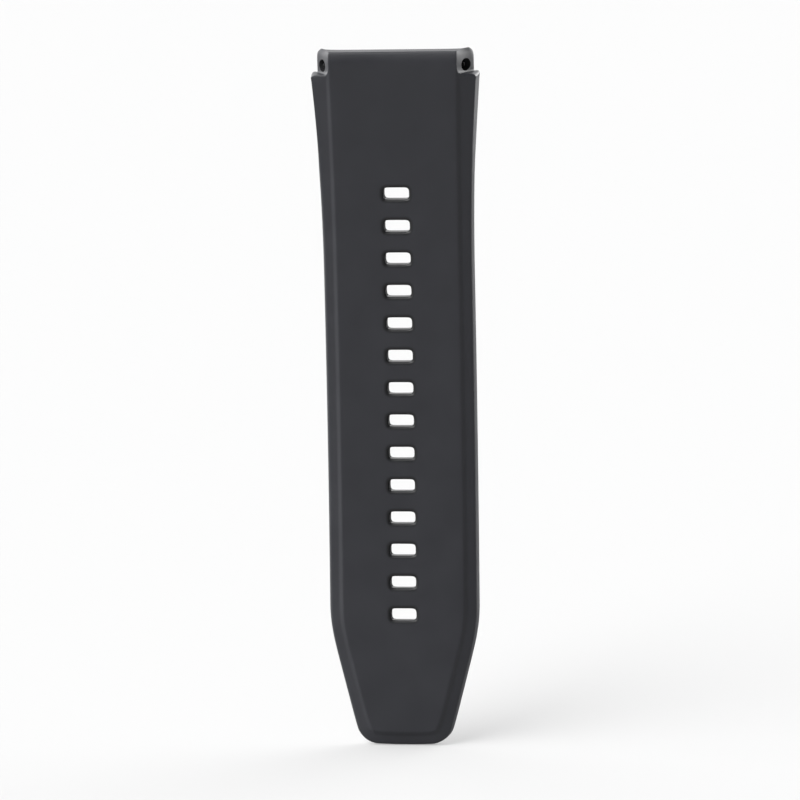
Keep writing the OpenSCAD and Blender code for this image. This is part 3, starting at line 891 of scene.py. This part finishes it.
class STRAP_OT_bar_finish(bpy.types.Operator):
    """Gives the spring bar's tube and plungers their finishes, the plungers a near-black steel that is
    painted shade of the bore
    """

    bl_idname = "strap.bar_finish"
    bl_label = "Spring Bar Finish"

    def execute(self, context):
        finish = context.scene.strap_finish
        turned = steel_material("turned_steel", finish.steel, roughness=0.3, streak=0.02 * MM)
        # Painted shade: the plungers get near-black steel in place of the shade inside the bore
        shaded_plunger_steel = steel_material("burnished_steel", finish.burnish, roughness=0.42, streak=0.02 * MM)
        for node, material in (("spring_bar_tube", turned), ("plunger_left", shaded_plunger_steel),
                               ("plunger_right", shaded_plunger_steel)):
            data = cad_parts[node].data
            data.materials.clear()
            data.materials.append(material)
        return {"FINISHED"}


# Side of the floor in metres, its distance below the strap in millimetres, and the lamps' height in metres
FLOOR_SIZE, FLOOR_GAP, LAMP_HEIGHT = 6.0, 0.05, 0.5
# Parts of the surroundings: the direction in which each lies, and the two dot products with it between
# which the part goes from its low to its high level
REAR_SKY = ((-0.55, 0.83, -0.8), -0.7, 0.4)
LEFT_GLOW = ((-0.83, 0.56, 0.0), 0.7, 0.95)
RIGHT_GLOW = ((0.743, 0.669, 0.0), 0.66, 0.92)
# The camera's sensor in millimetres, and how far it sees in metres
SENSOR, SIGHT = 36, 20


def floor_material(white, glow, bounce):
    """White floor that keeps a soft shadow, and throws only a little light back on the strap."""
    material, nodes, links, shader = new_material("white_floor")
    nodes.remove(shader)
    seen = nodes.new("ShaderNodeLightPath").outputs["Is Camera Ray"]
    matte = nodes.new("ShaderNodeBsdfDiffuse")
    links.new(tinted(nodes, links, seen, (bounce,) * 3, (white,) * 3), matte.inputs["Color"])
    shine = nodes.new("ShaderNodeEmission")
    links.new(reckon(nodes, links, "MULTIPLY", seen, glow), shine.inputs["Strength"])
    both = nodes.new("ShaderNodeAddShader")
    links.new(matte.outputs[0], both.inputs[0])
    links.new(shine.outputs[0], both.inputs[1])
    links.new(both.outputs[0], nodes["Material Output"].inputs["Surface"])
    return material


def towards(azimuth, elevation):
    """The direction at an angle to the right of the front and another above the floor."""
    return Vector((math.sin(azimuth) * math.cos(elevation), -math.cos(azimuth) * math.cos(elevation),
                   math.sin(elevation)))


class STRAP_OT_stage(bpy.types.Operator):
    """Adds the white floor, the surroundings, two soft lamps and the camera"""

    bl_idname = "strap.stage"
    bl_label = "White Stage"

    def execute(self, context):
        stage = context.scene.strap_stage
        sizes = context.scene.strap_sizes
        deselect_all()
        bpy.ops.mesh.primitive_plane_add(size=FLOOR_SIZE,
                                         location=(0, 0, -sizes.bar_to_tip - FLOOR_GAP * MM))
        floor = context.active_object
        bpy.ops.object.transform_apply(location=True, rotation=True, scale=True)
        floor.name = "floor"
        floor.data.materials.append(floor_material(stage.floor_white, stage.floor_glow, stage.floor_bounce))
        self.surroundings(stage)
        self.lamp("key_lamp", stage.key, azimuth=-58, elevation=41, breadth=64)
        self.lamp("top_lamp", stage.top, azimuth=-30, elevation=50, breadth=40)
        self.camera(context, stage)
        context.scene.view_settings.view_transform = "Standard"
        return {"FINISHED"}

    def surroundings(self, stage):
        """A sky, dim at the front right and bright at the left and behind, that the camera sees as white."""
        world = bpy.data.worlds.new("studio")
        bpy.context.scene.world = world
        world.use_nodes = True
        nodes, links = world.node_tree.nodes, world.node_tree.links
        sky = nodes["Background"]
        place = nodes.new("ShaderNodeTexCoord")
        level = None
        for (direction, start, end), low, high in (
                (REAR_SKY, stage.front_sky, stage.rear_sky),
                (LEFT_GLOW, 0.0, stage.left_glow),
                (RIGHT_GLOW, 0.0, stage.right_glow)):
            facing = nodes.new("ShaderNodeVectorMath")
            facing.operation = "DOT_PRODUCT"
            facing.inputs[1].default_value = direction
            links.new(place.outputs["Generated"], facing.inputs[0])
            part = spread(nodes, links, facing.outputs["Value"], low, high, start, end, "SMOOTHSTEP")
            level = part if level is None else reckon(nodes, links, "ADD", level, part)
        path = nodes.new("ShaderNodeLightPath")
        choose = nodes.new("ShaderNodeMix")
        choose.data_type = "FLOAT"
        choose.inputs["B"].default_value = 1.0
        links.new(path.outputs["Is Camera Ray"], choose.inputs["Factor"])
        links.new(level, choose.inputs["A"])
        links.new(choose.outputs["Result"], sky.inputs["Strength"])
        sky.inputs["Color"].default_value = (1, 1, 1, 1)

    def lamp(self, name, strength, azimuth, elevation, breadth):
        """A broad soft lamp, at degrees to the right of the front and above the floor."""
        bpy.ops.object.light_add(type="SUN", location=(0, 0, LAMP_HEIGHT))
        lamp = bpy.context.active_object
        lamp.name = name
        lamp.data.energy = strength
        lamp.data.angle = math.radians(breadth)
        lamp.rotation_mode = "QUATERNION"
        direction = towards(math.radians(azimuth), math.radians(elevation))
        lamp.rotation_quaternion = direction.to_track_quat("Z", "Y")

    def camera(self, context, stage):
        """The camera at the picture's viewing angle."""
        bpy.ops.object.camera_add()
        camera = context.active_object
        camera.name = "camera"
        back = towards(stage.azimuth, stage.elevation)
        right = Vector((math.cos(stage.azimuth), math.sin(stage.azimuth), 0))
        up = back.cross(right)
        cosine, sine = math.cos(stage.roll), math.sin(stage.roll)
        axes = Matrix((right * cosine - up * sine, right * sine + up * cosine, back))
        place = Vector((stage.target_x, 0, stage.target_z)) + back * stage.distance
        camera.matrix_world = Matrix.Translation(place) @ axes.transposed().to_4x4()
        camera.data.lens = stage.lens
        camera.data.sensor_width = SENSOR
        camera.data.clip_end = SIGHT
        context.scene.camera = camera


class STRAP_PT_panel(bpy.types.Panel):
    """Lists the strap's steps in the sidebar"""

    bl_idname = "STRAP_PT_panel"
    bl_label = "Slotted Rubber Strap"
    bl_space_type = "VIEW_3D"
    bl_region_type = "UI"
    bl_category = "Strap"

    def draw(self, context):
        for step in STEPS:
            self.layout.operator(step.bl_idname)
        for group, label in ((context.scene.strap_sizes, "Sizes"), (context.scene.strap_finish, "Finishes"),
                             (context.scene.strap_stage, "Stage")):
            box = self.layout.box()
            box.label(text=label)
            for name in group.__annotations__:
                box.prop(group, name)


STEPS = (STRAP_OT_body, STRAP_OT_coil, STRAP_OT_bar_finish, STRAP_OT_stage)
SETTINGS = (("strap_sizes", StrapSizes), ("strap_finish", FinishSettings), ("strap_stage", StageSettings))
CLASSES = tuple(group for _, group in SETTINGS) + STEPS + (STRAP_PT_panel,)


def register():
    for cls in CLASSES:
        bpy.utils.register_class(cls)
    for name, group in SETTINGS:
        setattr(bpy.types.Scene, name, PointerProperty(type=group))


def unregister():
    for name, _ in SETTINGS:
        delattr(bpy.types.Scene, name)
    for cls in reversed(CLASSES):
        bpy.utils.unregister_class(cls)


def main():
    register()
    bpy.ops.strap.body()
    bpy.ops.strap.coil()
    bpy.ops.strap.bar_finish()
    bpy.ops.strap.stage()


if __name__ == "__main__":
    main()
